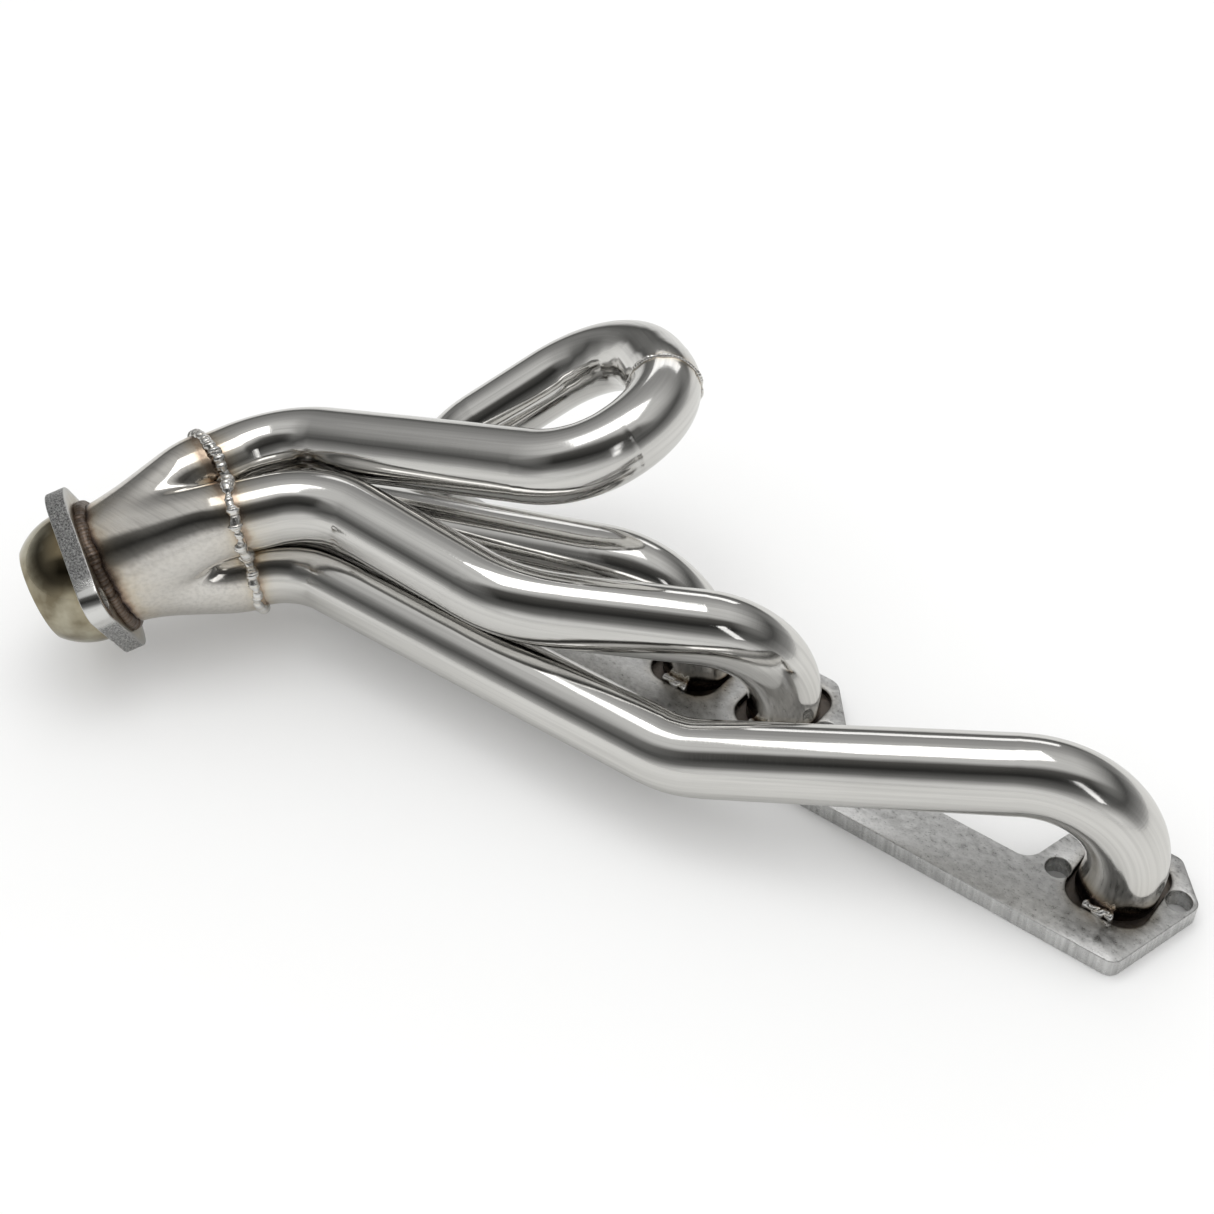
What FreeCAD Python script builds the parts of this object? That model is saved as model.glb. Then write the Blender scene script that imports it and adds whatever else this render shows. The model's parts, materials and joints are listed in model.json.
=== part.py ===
import FreeCAD, Part
import os
import Sketcher
from math import degrees, tan
from FreeCAD import Placement, Rotation, Vector

# A welded four-into-one exhaust manifold for one bank of an eight-cylinder engine.
# Millimetres. The gasket face of the head flange lies in z = 0 with the plate above it,
# +X runs along the plate towards port 1, and the origin is midway between ports 2 and 3.

doc = FreeCAD.newDocument("exhaust_manifold")

# ---------------------------------------------------------------- driving dimensions
DIMENSIONS = {
    # tubes
    "tube_radius": 17.46,
    "tube_wall": 1.6,
    "foot_length": 5.0,
    "slip_length": 9.0,
    # head flange: thickness, ports, and the corners of the outline on the +X side
    "plate_thickness": 9.525,
    "port_inner_x": 25.0,
    "port_outer_x": 198.5,
    "port_half_width": 18.3,
    "port_half_height": 21.0,
    "port_corner": 11.0,
    "bolt_hole_radius": 5.56,
    "bolt_end_x": 222.9,
    "bolt_end_y": 7.0,
    "bolt_inboard_x": 174.1,
    "bolt_inboard_y": 7.9,
    "bolt_centre_x": 49.4,
    "bolt_centre_y": 1.0,
    "edge_low_y": 39.5,
    "edge_high_y": 29.0,
    "notch_floor_y": 11.3,
    "end_low_x": 216.7,
    "end_mid_x": 231.3,
    "end_mid_y": 9.4,
    "end_high_x": 214.1,
    "lobe_high_x": 182.0,
    "lobe_mid_x": 168.6,
    "lobe_mid_y": 12.5,
    "lobe_low_x": 162.0,
    "centre_high_x": 37.2,
    "centre_mid_x": 60.0,
    "centre_mid_y": 2.6,
    "centre_low_x": 64.0,
    "end_corner": 6.0,
    "lobe_corner": 9.0,
    "cut_margin": 5.0,
    # collector: the four sockets lie on a square about the inlet centre
    "inlet_x": -236.0,
    "inlet_y": -103.0,
    "inlet_z": 60.5,
    "inlet_yaw": -115.5,
    "inlet_pitch": -5.0,
    "inlet_roll": -4.0,
    "socket_spacing": 38.2,
    "socket_clearance": 0.04,
    "socket_depth": 12.0,
    "collector_wall": 1.6,
    # outlet: flange face that the collector meets, its direction and its plate
    "outlet_x": -267.6,
    "outlet_y": -158.0,
    "outlet_z": 52.3,
    "outlet_yaw": -121.5,
    "outlet_pitch": -13.0,
    "outlet_roll": 18.5,
    "neck_radius": 30.3,
    "neck_length": 9.0,
    "neck_insert": 4.5,
    "outlet_thickness": 9.525,
    "outlet_bore_radius": 30.4,
    "outlet_long": 55.0,
    "outlet_short": 51.3,
    "outlet_bolt_corner": 10.5,
    "outlet_side_corner": 20.0,
    "outlet_bolt_offset": 40.0,
    "ball_radius": 33.0,
    "ball_height": 23.5,
    "ball_shoulder": 1.0,
    # weld beads
    "bead_width": 3.2,
    "bead_rise": 2.6,
    "bead_toe": 0.4,
    "neck_bead_rise": 3.6,
    "seam_rise": 0.9,
    "root_rise": 0.8,
    "tack_radius": 2.3,
    "tack_ring_radius": 19.3,
    "tack_arc": 36.0,
    "tack_lift": 0.2,
    "port_weld_low_z": 0.3,
    "port_weld_high_z": 6.2,
    "plug_radius": 7.4,
    "plug_thickness": 3.0,
}

# Bend table: each tube runs from its port through these points (x, y, z, bend radius)
# to its socket in the collector.
ROUTES = {
    "tube_1": [(206, 7, 73, 42.5), (20, -77.5, 37, 51.5), (-205, -89, 40.5, 42)],
    "tube_2": [(28, -0.5, 56, 45.5), (-75, -76, 74.5, 67), (-194.5, -77.5, 79, 46)],
    "tube_3": [(-21.5, -2.5, 67, 44), (-230, -60, 45, 52)],
    "tube_4": [
        (-192, -2, 60.5, 45),
        (-136, 86, 109.5, 49),
        (-82, 48, 125, 45),
        (-63, 21.5, 128.5, 45),
        (-76.5, -25, 118, 41.5),
        (-243, -56, 80.5, 42.5),
    ],
}
PORT_SIDES = {
    "tube_1": ("port_outer_x", 1),
    "tube_2": ("port_inner_x", 1),
    "tube_3": ("port_inner_x", -1),
    "tube_4": ("port_outer_x", -1),
}
# Which corner of the collector's square each tube enters: (sideways, up).
SOCKET_CORNERS = {"tube_1": (-1, -1), "tube_2": (-1, 1), "tube_3": (1, -1), "tube_4": (1, 1)}
# The long looped tube is made of two bent pieces, butt-welded after its third bend.
SEAM_BEND = 3

sheet = doc.addObject("Spreadsheet::Sheet", "dims")
row = 1


def put(alias, value):
    global row
    sheet.set(f"A{row}", alias)
    sheet.set(f"B{row}", str(value))
    sheet.setAlias(f"B{row}", alias)
    row += 1


for alias, value in DIMENSIONS.items():
    put(alias, value)
for tube, bends in ROUTES.items():
    for number, bend in enumerate(bends, start=1):
        for axis, value in zip(("x", "y", "z", "radius"), bend):
            put(f"{tube}_bend{number}_{axis}", value)
doc.recompute()


def size(alias):
    return float(getattr(sheet, alias))


def bind(obj, **expressions):
    for name, expression in expressions.items():
        obj.setExpression(name, expression)


# ---------------------------------------------------------------- directions and points
def direction(yaw, pitch):
    return Rotation(yaw, -pitch, 0).multVec(Vector(1, 0, 0))


def facing(axis):
    """Placement rotation that turns +Z to the axis."""
    return Rotation(Vector(0, 0, 1), axis)


def unit(vector):
    return Vector(vector).normalize()


inlet_axis = direction(size("inlet_yaw"), size("inlet_pitch"))
inlet_level = unit(inlet_axis.cross(Vector(0, 0, 1)))
inlet_roll = Rotation(inlet_axis, size("inlet_roll"))
inlet_side = inlet_roll.multVec(inlet_level)
inlet_up = inlet_roll.multVec(inlet_level.cross(inlet_axis))
inlet_centre = Vector(size("inlet_x"), size("inlet_y"), size("inlet_z"))

outlet_axis = direction(size("outlet_yaw"), size("outlet_pitch"))
outlet_level = unit(Vector(0, 0, 1).cross(outlet_axis))
outlet_centre = Vector(size("outlet_x"), size("outlet_y"), size("outlet_z"))
outlet_turn = Rotation(outlet_axis, size("outlet_roll"))
outlet_rotation = Rotation(outlet_turn.multVec(outlet_level), Vector(), outlet_axis, "ZXY")
outlet_place = Placement(outlet_centre, outlet_rotation)


def rim_centre(tube):
    """Centre of the socket's open rim, where the tube enters the collector."""
    sideways, upwards = SOCKET_CORNERS[tube]
    half = size("socket_spacing") / 2
    return inlet_centre + inlet_side * (sideways * half) + inlet_up * (upwards * half)


def port_centre(tube):
    alias, side = PORT_SIDES[tube]
    return Vector(side * size(alias), 0, size("plate_thickness"))


def bend_points(tube):
    points = []
    for number in range(1, len(ROUTES[tube]) + 1):
        x, y, z = (size(f"{tube}_bend{number}_{axis}") for axis in "xyz")
        points.append((Vector(x, y, z), size(f"{tube}_bend{number}_radius")))
    return points


def socket_axis(tube):
    return unit(rim_centre(tube) - bend_points(tube)[-1][0])


def rise_axis(tube):
    return unit(bend_points(tube)[0][0] - port_centre(tube))


# ---------------------------------------------------------------- shapes used many times
def cylinder(name, radius, height, base, axis):
    """A cylinder whose radius and height are expressions; its base sits on the point."""
    obj = doc.addObject("Part::Cylinder", name)
    bind(obj, Radius=radius, Height=height)
    obj.Placement = Placement(base, facing(axis))
    return obj


def cone(name, radius_low, radius_high, height, base, axis):
    obj = doc.addObject("Part::Cone", name)
    bind(obj, Radius1=radius_low, Radius2=radius_high, Height=height)
    obj.Placement = Placement(base, facing(axis))
    return obj


def ring(name, radius, centre, axis):
    obj = doc.addObject("Part::Circle", name)
    bind(obj, Radius=radius)
    obj.Placement = Placement(centre, facing(axis))
    return obj


def loft(name, sections):
    obj = doc.addObject("Part::Loft", name)
    obj.Sections = sections
    obj.Solid = True
    obj.Ruled = True
    return obj


def fuse(name, shapes):
    obj = doc.addObject("Part::MultiFuse", name)
    obj.Shapes = shapes
    return obj


def cut(name, base, tool):
    obj = doc.addObject("Part::Cut", name)
    obj.Base = base
    obj.Tool = tool
    return obj


# ---------------------------------------------------------------- primary tubes
def bent_bar(name, tube, start, end, radius, first=0, last=None):
    """A round bar through the tube's bends: cylinders for the runs and torus parts for the bends.

    The bar covers the bends from number first up to, but not including, number last, and
    returns its solids with the point and heading at its end."""
    corners = bend_points(tube)
    points = [start] + [corner for corner, bend in corners] + [end]
    solids = []
    here = start
    heading = unit(points[1] - start)
    last = len(corners) if last is None else last
    for index, (corner, bend) in enumerate(corners):
        arriving = unit(corner - points[index])
        leaving = unit(points[index + 2] - corner)
        turn = arriving.getAngle(leaving)
        setback = bend * tan(turn / 2)
        arc_start = corner - arriving * setback
        inward = unit(leaving - arriving * leaving.dot(arriving))
        centre = arc_start + inward * bend
        if first <= index < last:
            run = (arc_start - here).dot(arriving)
            if run < 0:
                raise RuntimeError(f"{name}: bend {index + 1} starts before the one ahead of it ends")
            solids.append(cylinder(f"{name}_run{index + 1}", radius, f"{run} mm", here, arriving))
            solids.append(elbow(f"{name}_bend{index + 1}", radius, bend, turn, centre, inward, arriving))
        here = corner + leaving * setback
        heading = leaving
        if index == last - 1:
            break
    if last == len(corners):
        run = (end - here).Length
        solids.append(cylinder(f"{name}_run{last + 1}", radius, f"{run} mm", here, heading))
    return solids, here, heading


def elbow(name, radius, bend, turn, centre, inward, heading):
    """A round bend about its centre, starting on the side away from inward."""
    obj = doc.addObject("Part::Torus", name)
    bind(obj, Radius2=radius)
    obj.Radius1 = bend
    obj.Angle3 = degrees(turn)
    outward = inward * -1
    obj.Placement = Placement(centre, Rotation(outward, heading, outward.cross(heading), "XYZ"))
    return obj


OUTSIDE = ""
INSIDE = " - dims.tube_wall"


def tube_piece(label, tube, first, last):
    """One bent piece of tube. The piece with the first bend starts inside the port, at its foot."""
    start = port_centre(tube) - rise_axis(tube) * size("foot_length")
    end = rim_centre(tube) + socket_axis(tube) * size("slip_length")
    layers = []
    for layer, inset in (("outer", OUTSIDE), ("inner", INSIDE)):
        name = f"{label}_{layer}"
        radius = f"dims.tube_radius{inset}"
        solids, seam_point, seam_axis = bent_bar(name, tube, start, end, radius, first, last)
        layers.append(fuse(name, solids))
    piece = cut(label, *layers)
    piece.Label = label
    pieces.append(piece)
    outers[label] = layers[0]
    return seam_point, seam_axis


pieces = []
outers = {}
for tube in ("tube_1", "tube_2", "tube_3"):
    tube_piece(f"primary_{tube}", tube, 0, None)
seam_point, seam_axis = tube_piece("primary_tube_4_rear", "tube_4", 0, SEAM_BEND)
tube_piece("primary_tube_4_front", "tube_4", SEAM_BEND, None)


# ---------------------------------------------------------------- sketch helpers
def plane(body, role):
    return next(item for item in body.Origin.OriginFeatures if item.Role == role)


def signed(alias):
    """Value of an alias written with an optional minus sign; an empty alias is zero."""
    if not alias:
        return 0.0
    return -size(alias[1:]) if alias.startswith("-") else size(alias)


X_AXIS, Y_AXIS = -1, -2
ORIGIN = (-1, 1)


def pin_point(sketch, geometry, point, x_alias, y_alias):
    """Hold one point of a sketch at named distances from the sketch's origin."""
    if not x_alias and not y_alias:
        sketch.addConstraint(Sketcher.Constraint("Coincident", geometry, point, *ORIGIN))
        return
    for kind, alias, line in (("DistanceX", x_alias, Y_AXIS), ("DistanceY", y_alias, X_AXIS)):
        if not alias:
            sketch.addConstraint(Sketcher.Constraint("PointOnObject", geometry, point, line))
            continue
        ends = (*ORIGIN, geometry, point) if signed(alias) > 0 else (geometry, point, *ORIGIN)
        index = sketch.addConstraint(Sketcher.Constraint(kind, *ends, abs(signed(alias))))
        sketch.setExpression(f"Constraints[{index}]", f"dims.{alias.lstrip('-')}")


def polygon_sketch(body, name, corners):
    """A closed polygon whose corners are pairs of aliases."""
    sketch = body.newObject("Sketcher::SketchObject", name)
    sketch.AttachmentSupport = [(plane(body, "XY_Plane"), "")]
    sketch.MapMode = "FlatFace"
    points = [Vector(signed(x), signed(y), 0) for x, y in corners]
    count = len(points)
    for index in range(count):
        line = Part.LineSegment(points[index], points[(index + 1) % count])
        sketch.addGeometry(line, False)
    for index in range(count):
        sketch.addConstraint(Sketcher.Constraint("Coincident", index, 2, (index + 1) % count, 1))
    for index, (x, y) in enumerate(corners):
        pin_point(sketch, index, 1, x, y)
    return sketch


def circle_sketch(body, name, circles):
    """Circles given as (x alias, y alias, radius alias)."""
    sketch = body.newObject("Sketcher::SketchObject", name)
    sketch.AttachmentSupport = [(plane(body, "XY_Plane"), "")]
    sketch.MapMode = "FlatFace"
    for x, y, radius in circles:
        circle = Part.Circle(Vector(signed(x), signed(y), 0), Vector(0, 0, 1), size(radius))
        number = sketch.addGeometry(circle, False)
        index = sketch.addConstraint(Sketcher.Constraint("Radius", number, size(radius)))
        sketch.setExpression(f"Constraints[{index}]", f"dims.{radius}")
        pin_point(sketch, number, 3, x, y)
    return sketch


def pad(body, name, sketch, length):
    feature = body.newObject("PartDesign::Pad", name)
    feature.Profile = sketch
    bind(feature, Length=length)
    return feature


def pocket_through(body, name, sketch):
    """Cut upwards from the sketch plane through the whole plate."""
    feature = body.newObject("PartDesign::Pocket", name)
    feature.Profile = sketch
    feature.Type = "ThroughAll"
    feature.Reversed = True
    return feature


def upright_edges(shape, places):
    """Names of the edges parallel to Z that stand on the given points."""
    names = []
    for number, edge in enumerate(shape.Edges, start=1):
        low, high = edge.Vertexes[0].Point, edge.Vertexes[-1].Point
        upright = abs(low.x - high.x) < 0.01 and abs(low.y - high.y) < 0.01
        if upright and any(abs(low.x - x) < 0.05 and abs(low.y - y) < 0.05 for x, y in places):
            names.append(f"Edge{number}")
    return names


def round_corners(body, name, places, radius):
    doc.recompute()
    base = body.Tip
    feature = body.newObject("PartDesign::Fillet", name)
    feature.Base = (base, upright_edges(base.Shape, places))
    bind(feature, Radius=f"dims.{radius}")
    body.Tip = feature
    return feature


# ---------------------------------------------------------------- head flange
head = doc.addObject("PartDesign::Body", "head_flange_blank")
right_half = [
    ("end_low_x", "-edge_low_y"),
    ("end_mid_x", "end_mid_y"),
    ("end_high_x", "edge_high_y"),
    ("lobe_high_x", "edge_high_y"),
    ("lobe_mid_x", "lobe_mid_y"),
    ("lobe_low_x", "-notch_floor_y"),
    ("centre_low_x", "-notch_floor_y"),
    ("centre_mid_x", "centre_mid_y"),
    ("centre_high_x", "edge_high_y"),
]
left_half = [(f"-{x}", y) for x, y in reversed(right_half)]
outline = polygon_sketch(head, "head_outline", right_half + left_half)
pad(head, "head_plate", outline, "dims.plate_thickness")
for name, aliases, radius in (
    ("end_corners", right_half[:3], "end_corner"),
    ("lobe_corners", right_half[3:5] + right_half[7:], "lobe_corner"),
    ("notch_corners", right_half[5:7], "lobe_corner"),
):
    places = [(side * size(x), signed(y)) for x, y in aliases for side in (1, -1)]
    round_corners(head, name, places, radius)

bolts = []
for side in ("", "-"):
    bolts.append((f"{side}bolt_end_x", "bolt_end_y", "bolt_hole_radius"))
    bolts.append((f"{side}bolt_inboard_x", "-bolt_inboard_y", "bolt_hole_radius"))
    bolts.append((f"{side}bolt_centre_x", "-bolt_centre_y", "bolt_hole_radius"))
pocket_through(head, "bolt_holes", circle_sketch(head, "bolt_circles", bolts))
doc.recompute()


def rounded_block(name, tube, low, high):
    """An upright block with the port's rounded outline, between two heights."""
    centre = port_centre(tube)
    block = doc.addObject("Part::Box", f"{name}_block")
    bind(
        block,
        Length="2 * dims.port_half_width",
        Width="2 * dims.port_half_height",
        Height=str(high - low),
    )
    corner = Vector(centre.x - size("port_half_width"), -size("port_half_height"), low)
    block.Placement = Placement(corner, Rotation())
    doc.recompute()
    rounded = doc.addObject("Part::Fillet", name)
    rounded.Base = block
    radius = size("port_corner")
    rounded.Edges = [
        (number, radius, radius)
        for number, edge in enumerate(block.Shape.Edges, start=1)
        if abs(edge.tangentAt(edge.FirstParameter).z) > 0.99
    ]
    return rounded


margin = size("cut_margin")
port_blocks = [
    rounded_block(f"{tube}_port", tube, -margin, size("plate_thickness") + margin)
    for tube in ROUTES
]
head_flange = cut("head_flange", head, fuse("ports", port_blocks))
pieces.append(head_flange)

# ---------------------------------------------------------------- port welds and tacks
for number, tube in enumerate(ROUTES, start=1):
    centre = port_centre(tube)
    heights = (size("port_weld_low_z"), size("port_weld_high_z"))
    fill = rounded_block(f"port_weld_{number}_fill", tube, *heights)
    foot = centre - rise_axis(tube) * size("foot_length")
    bore = cylinder(
        f"port_weld_{number}_bore",
        "dims.tube_radius - dims.tube_wall",
        "2 * dims.cut_margin",
        foot - Vector(0, 0, margin),
        Vector(0, 0, 1),
    )
    label = next(name for name in outers if name.startswith(f"primary_{tube}"))
    weld = cut(f"port_weld_{number}_ring", fill, bore)
    weld = cut(f"port_weld_{number}", weld, outers[label])
    weld.Label = f"port_weld_{number}"
    pieces.append(weld)

    # A short bead bridges the tube and the plate on the side away from the engine's top.
    arc = doc.addObject("Part::Torus", f"tack_{number}_arc")
    bind(arc, Radius1="dims.tack_ring_radius", Radius2="dims.tack_radius", Angle3="dims.tack_arc")
    turn = Rotation(Vector(0, 0, 1), -90 - size("tack_arc") / 2)
    arc.Placement = Placement(centre + Vector(0, 0, size("tack_lift")), turn)
    tack = cut(f"tack_weld_{number}_a", arc, outers[label])
    tack = cut(f"tack_weld_{number}", tack, head_flange)
    tack.Label = f"tack_weld_{number}"
    pieces.append(tack)

# ---------------------------------------------------------------- collector
neck_start = outlet_centre - outlet_axis * size("neck_length")
neck_end = outlet_centre + outlet_axis * size("neck_insert")
layers = {}
for layer, socket_radius, inset in (
    ("outer", "dims.tube_radius + dims.socket_clearance + dims.collector_wall", ""),
    ("inner", "dims.tube_radius + dims.socket_clearance", " - dims.collector_wall"),
):
    shapes = []
    for tube in ROUTES:
        axis = socket_axis(tube)
        rim = rim_centre(tube)
        throat = rim + axis * size("socket_depth")
        name = f"collector_{layer}_{tube}"
        base, height = rim, "dims.socket_depth"
        if layer == "inner":
            base, height = rim - axis, "dims.socket_depth + 1"
        shapes.append(cylinder(f"{name}_socket", socket_radius, height, base, axis))
        wide = ring(f"{name}_wide", f"dims.neck_radius{inset}", neck_start, outlet_axis)
        shapes.append(
            loft(f"{name}_runner", [ring(f"{name}_throat", socket_radius, throat, axis), wide])
        )
    overshoot = 1.0 if layer == "inner" else 0.0
    shapes.append(
        cylinder(
            f"collector_{layer}_neck",
            f"dims.neck_radius{inset}",
            f"dims.neck_length + dims.neck_insert + {overshoot}",
            neck_start,
            outlet_axis,
        )
    )
    layers[layer] = fuse(f"collector_{layer}", shapes)
collector = cut("collector_cut", layers["outer"], layers["inner"])
collector.Label = "collector_body"
pieces.append(collector)

# The four tube ends leave a star-shaped gap between them, closed by a round plug.
plug = cylinder("plug_disc", "dims.plug_radius", "dims.plug_thickness", inlet_centre, inlet_axis)
merge_plug = cut("merge_plug", plug, layers["outer"])
merge_plug.Label = "merge_plug"
pieces.append(merge_plug)

# ---------------------------------------------------------------- collector welds
tube_end_labels = {
    "tube_1": "primary_tube_1",
    "tube_2": "primary_tube_2",
    "tube_3": "primary_tube_3",
    "tube_4": "primary_tube_4_front",
}
earlier = []
for number, tube in enumerate(ROUTES, start=1):
    bead = cone(
        f"collector_bead_{number}",
        "dims.tube_radius + dims.bead_rise",
        "dims.tube_radius + dims.bead_toe",
        "dims.bead_width",
        rim_centre(tube),
        socket_axis(tube) * -1,
    )
    others = [outers[label] for label in tube_end_labels.values()]
    away = fuse(f"collector_bead_{number}_away", others + [layers["outer"]] + earlier)
    weld = cut(f"collector_weld_{number}", bead, away)
    weld.Label = f"collector_weld_{number}"
    pieces.append(weld)
    earlier.append(bead)

# ---------------------------------------------------------------- loop seam weld
half_bead = seam_axis * (size("bead_width") / 2)
band = cylinder(
    "loop_band",
    "dims.tube_radius + dims.seam_rise",
    "dims.bead_width",
    seam_point - half_bead,
    seam_axis,
)
tube_ends = fuse("loop_tube", [outers["primary_tube_4_rear"], outers["primary_tube_4_front"]])
loop_weld = cut("loop_weld", band, tube_ends)
loop_weld.Label = "loop_weld"
pieces.append(loop_weld)

# ---------------------------------------------------------------- outlet flange
outlet = doc.addObject("PartDesign::Body", "outlet_flange")
tips = [
    ("outlet_long", ""),
    ("", "outlet_short"),
    ("-outlet_long", ""),
    ("", "-outlet_short"),
]
pad(outlet, "outlet_plate", polygon_sketch(outlet, "outlet_outline", tips), "dims.outlet_thickness")
for name, corners, radius in (
    ("outlet_bolt_corners", tips[0::2], "outlet_bolt_corner"),
    ("outlet_side_corners", tips[1::2], "outlet_side_corner"),
):
    round_corners(outlet, name, [(signed(x), signed(y)) for x, y in corners], radius)
outlet_holes = [
    ("", "", "outlet_bore_radius"),
    ("outlet_bolt_offset", "", "bolt_hole_radius"),
    ("-outlet_bolt_offset", "", "bolt_hole_radius"),
]
pocket_through(outlet, "outlet_holes", circle_sketch(outlet, "outlet_circles", outlet_holes))
outlet.Placement = outlet_place
pieces.append(outlet)

# ---------------------------------------------------------------- ball seat
outer_face = outlet_centre + outlet_axis * size("outlet_thickness")
spigot_length = "dims.outlet_thickness - dims.neck_insert"
spigot_base = neck_end
ball_layers = {}
for layer, inset in (("outer", ""), ("inner", " - dims.collector_wall")):
    ball = doc.addObject("Part::Sphere", f"ball_{layer}_sphere")
    bind(ball, Radius=f"dims.ball_radius{inset}")
    shoulder = 0 if layer == "outer" else size("ball_shoulder")
    ball.Placement = Placement(outer_face + outlet_axis * shoulder, outlet_rotation)
    # Angle1 and Angle2 are latitudes: from the flange face to the truncated mouth.
    ball.Angle1 = 0
    if layer == "outer":
        bind(ball, Angle2="asin(dims.ball_height / dims.ball_radius)")
    else:
        ball.Angle2 = 90
    spigot = cylinder(
        f"ball_{layer}_spigot",
        f"dims.neck_radius{inset}",
        spigot_length if layer == "outer" else f"{spigot_length} + 2 * dims.ball_shoulder",
        spigot_base,
        outlet_axis,
    )
    ball_layers[layer] = fuse(f"ball_{layer}", [ball, spigot])
ball_seat = cut("ball_seat_cut", ball_layers["outer"], ball_layers["inner"])
ball_seat.Label = "ball_seat"
pieces.append(ball_seat)

# ---------------------------------------------------------------- outlet welds
neck_bead = cone(
    "neck_bead",
    "dims.neck_radius + dims.neck_bead_rise",
    "dims.neck_radius + dims.bead_toe",
    "dims.bead_width",
    outlet_centre,
    outlet_axis * -1,
)
neck_weld = cut("neck_weld", neck_bead, layers["outer"])
neck_weld.Label = "neck_weld"
pieces.append(neck_weld)

# Root bead inside the bore, over the joint between the collector's neck and the ball seat.
root_band = cylinder(
    "root_band",
    "dims.neck_radius - dims.collector_wall",
    "dims.bead_width",
    neck_end - outlet_axis * (size("bead_width") / 2),
    outlet_axis,
)
root_bore = cylinder(
    "root_bore",
    "dims.neck_radius - dims.collector_wall - dims.root_rise",
    "dims.bead_width + 2",
    neck_end - outlet_axis * (size("bead_width") / 2 + 1),
    outlet_axis,
)
root_weld = cut("root_weld", root_band, root_bore)
root_weld.Label = "root_weld"
pieces.append(root_weld)

# ---------------------------------------------------------------- checks and export
doc.recompute()
for obj in doc.Objects:
    if "Invalid" in obj.State or "Error" in obj.State:
        raise RuntimeError(f"{obj.Name} failed: {obj.State}")
for piece in pieces:
    if piece.Shape.isNull() or not piece.Shape.isValid():
        raise RuntimeError(f"{piece.Label} has no valid shape")
    if not piece.Shape.Solids:
        raise RuntimeError(f"{piece.Label} holds no solid")

os.makedirs("parts", exist_ok=True)
for piece in pieces:
    piece.Shape.exportStep(f"parts/{piece.Label}.step")
    solids = len(piece.Shape.Solids)
    print(f"{piece.Label}: {solids} solid, {piece.Shape.Volume / 1000:.2f} cm3")
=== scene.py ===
"""A polished four-into-one exhaust manifold on a pale studio floor.

The two flanges are bevelled copies of the CAD plates. The tubes, the collector, the ball end
and the weld beads are finer meshes that stand in the places of their CAD nodes. Lengths in the
tables are millimetres in the frame's own axes; everything is turned to metres when it is built.
"""

import json
from math import asin, atan2, ceil, cos, exp, floor, log, pi, radians, sin, sqrt, tan

import bmesh
import bpy
from mathutils import Matrix, Vector, noise

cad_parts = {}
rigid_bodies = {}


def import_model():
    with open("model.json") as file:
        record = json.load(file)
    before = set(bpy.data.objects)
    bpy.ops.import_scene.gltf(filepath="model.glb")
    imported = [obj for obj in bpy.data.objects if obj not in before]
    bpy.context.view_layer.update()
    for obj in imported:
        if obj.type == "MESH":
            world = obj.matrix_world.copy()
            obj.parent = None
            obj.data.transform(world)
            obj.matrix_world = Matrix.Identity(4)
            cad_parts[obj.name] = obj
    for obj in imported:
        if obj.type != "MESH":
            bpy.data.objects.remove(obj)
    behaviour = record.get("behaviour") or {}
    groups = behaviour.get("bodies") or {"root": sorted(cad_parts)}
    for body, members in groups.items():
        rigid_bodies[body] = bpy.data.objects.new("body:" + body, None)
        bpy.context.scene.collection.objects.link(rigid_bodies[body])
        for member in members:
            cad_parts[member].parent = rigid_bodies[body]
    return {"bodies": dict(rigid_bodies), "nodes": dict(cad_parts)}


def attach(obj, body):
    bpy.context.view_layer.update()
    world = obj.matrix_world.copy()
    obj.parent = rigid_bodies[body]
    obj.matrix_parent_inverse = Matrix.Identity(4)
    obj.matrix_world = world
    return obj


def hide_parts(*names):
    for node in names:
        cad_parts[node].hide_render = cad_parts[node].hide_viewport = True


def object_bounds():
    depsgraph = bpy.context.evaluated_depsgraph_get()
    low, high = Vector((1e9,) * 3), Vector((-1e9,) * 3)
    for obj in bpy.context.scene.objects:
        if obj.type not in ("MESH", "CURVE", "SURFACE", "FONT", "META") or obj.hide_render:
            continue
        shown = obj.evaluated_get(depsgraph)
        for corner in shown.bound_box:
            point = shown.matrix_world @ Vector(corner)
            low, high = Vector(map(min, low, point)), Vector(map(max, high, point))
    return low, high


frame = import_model()
cad_low, cad_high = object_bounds()
MM = 0.001
BODY = next(iter(frame["bodies"]))

# ---------------------------------------------------------------- sizes shared with the CAD model
TUBE_RADIUS = 17.46
TUBE_WALL = 1.6
FOOT_LENGTH = 5.0
SLIP_LENGTH = 9.0
PLATE = 9.525
PORT_HALF_WIDTH, PORT_HALF_HEIGHT, PORT_CORNER = 18.3, 21.0, 11.0
PORTS = {"tube_1": 198.5, "tube_2": 25.0, "tube_3": -25.0, "tube_4": -198.5}
ROUTES = {
    "tube_1": [(206, 7, 73, 42.5), (20, -77.5, 37, 51.5), (-205, -89, 40.5, 42)],
    "tube_2": [(28, -0.5, 56, 45.5), (-75, -76, 74.5, 67), (-194.5, -77.5, 79, 46)],
    "tube_3": [(-21.5, -2.5, 67, 44), (-230, -60, 45, 52)],
    "tube_4": [
        (-192, -2, 60.5, 45),
        (-136, 86, 109.5, 49),
        (-82, 48, 125, 45),
        (-63, 21.5, 128.5, 45),
        (-76.5, -25, 118, 41.5),
        (-243, -56, 80.5, 42.5),
    ],
}
SEAM_BEND = 3
SOCKET_CORNERS = {"tube_1": (-1, -1), "tube_2": (-1, 1), "tube_3": (1, -1), "tube_4": (1, 1)}
INLET = Vector((-236.0, -103.0, 60.5))
INLET_YAW, INLET_PITCH, INLET_ROLL = -115.5, -5.0, -4.0
SOCKET_SPACING = 38.2
SOCKET_RADIUS = 19.1
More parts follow.
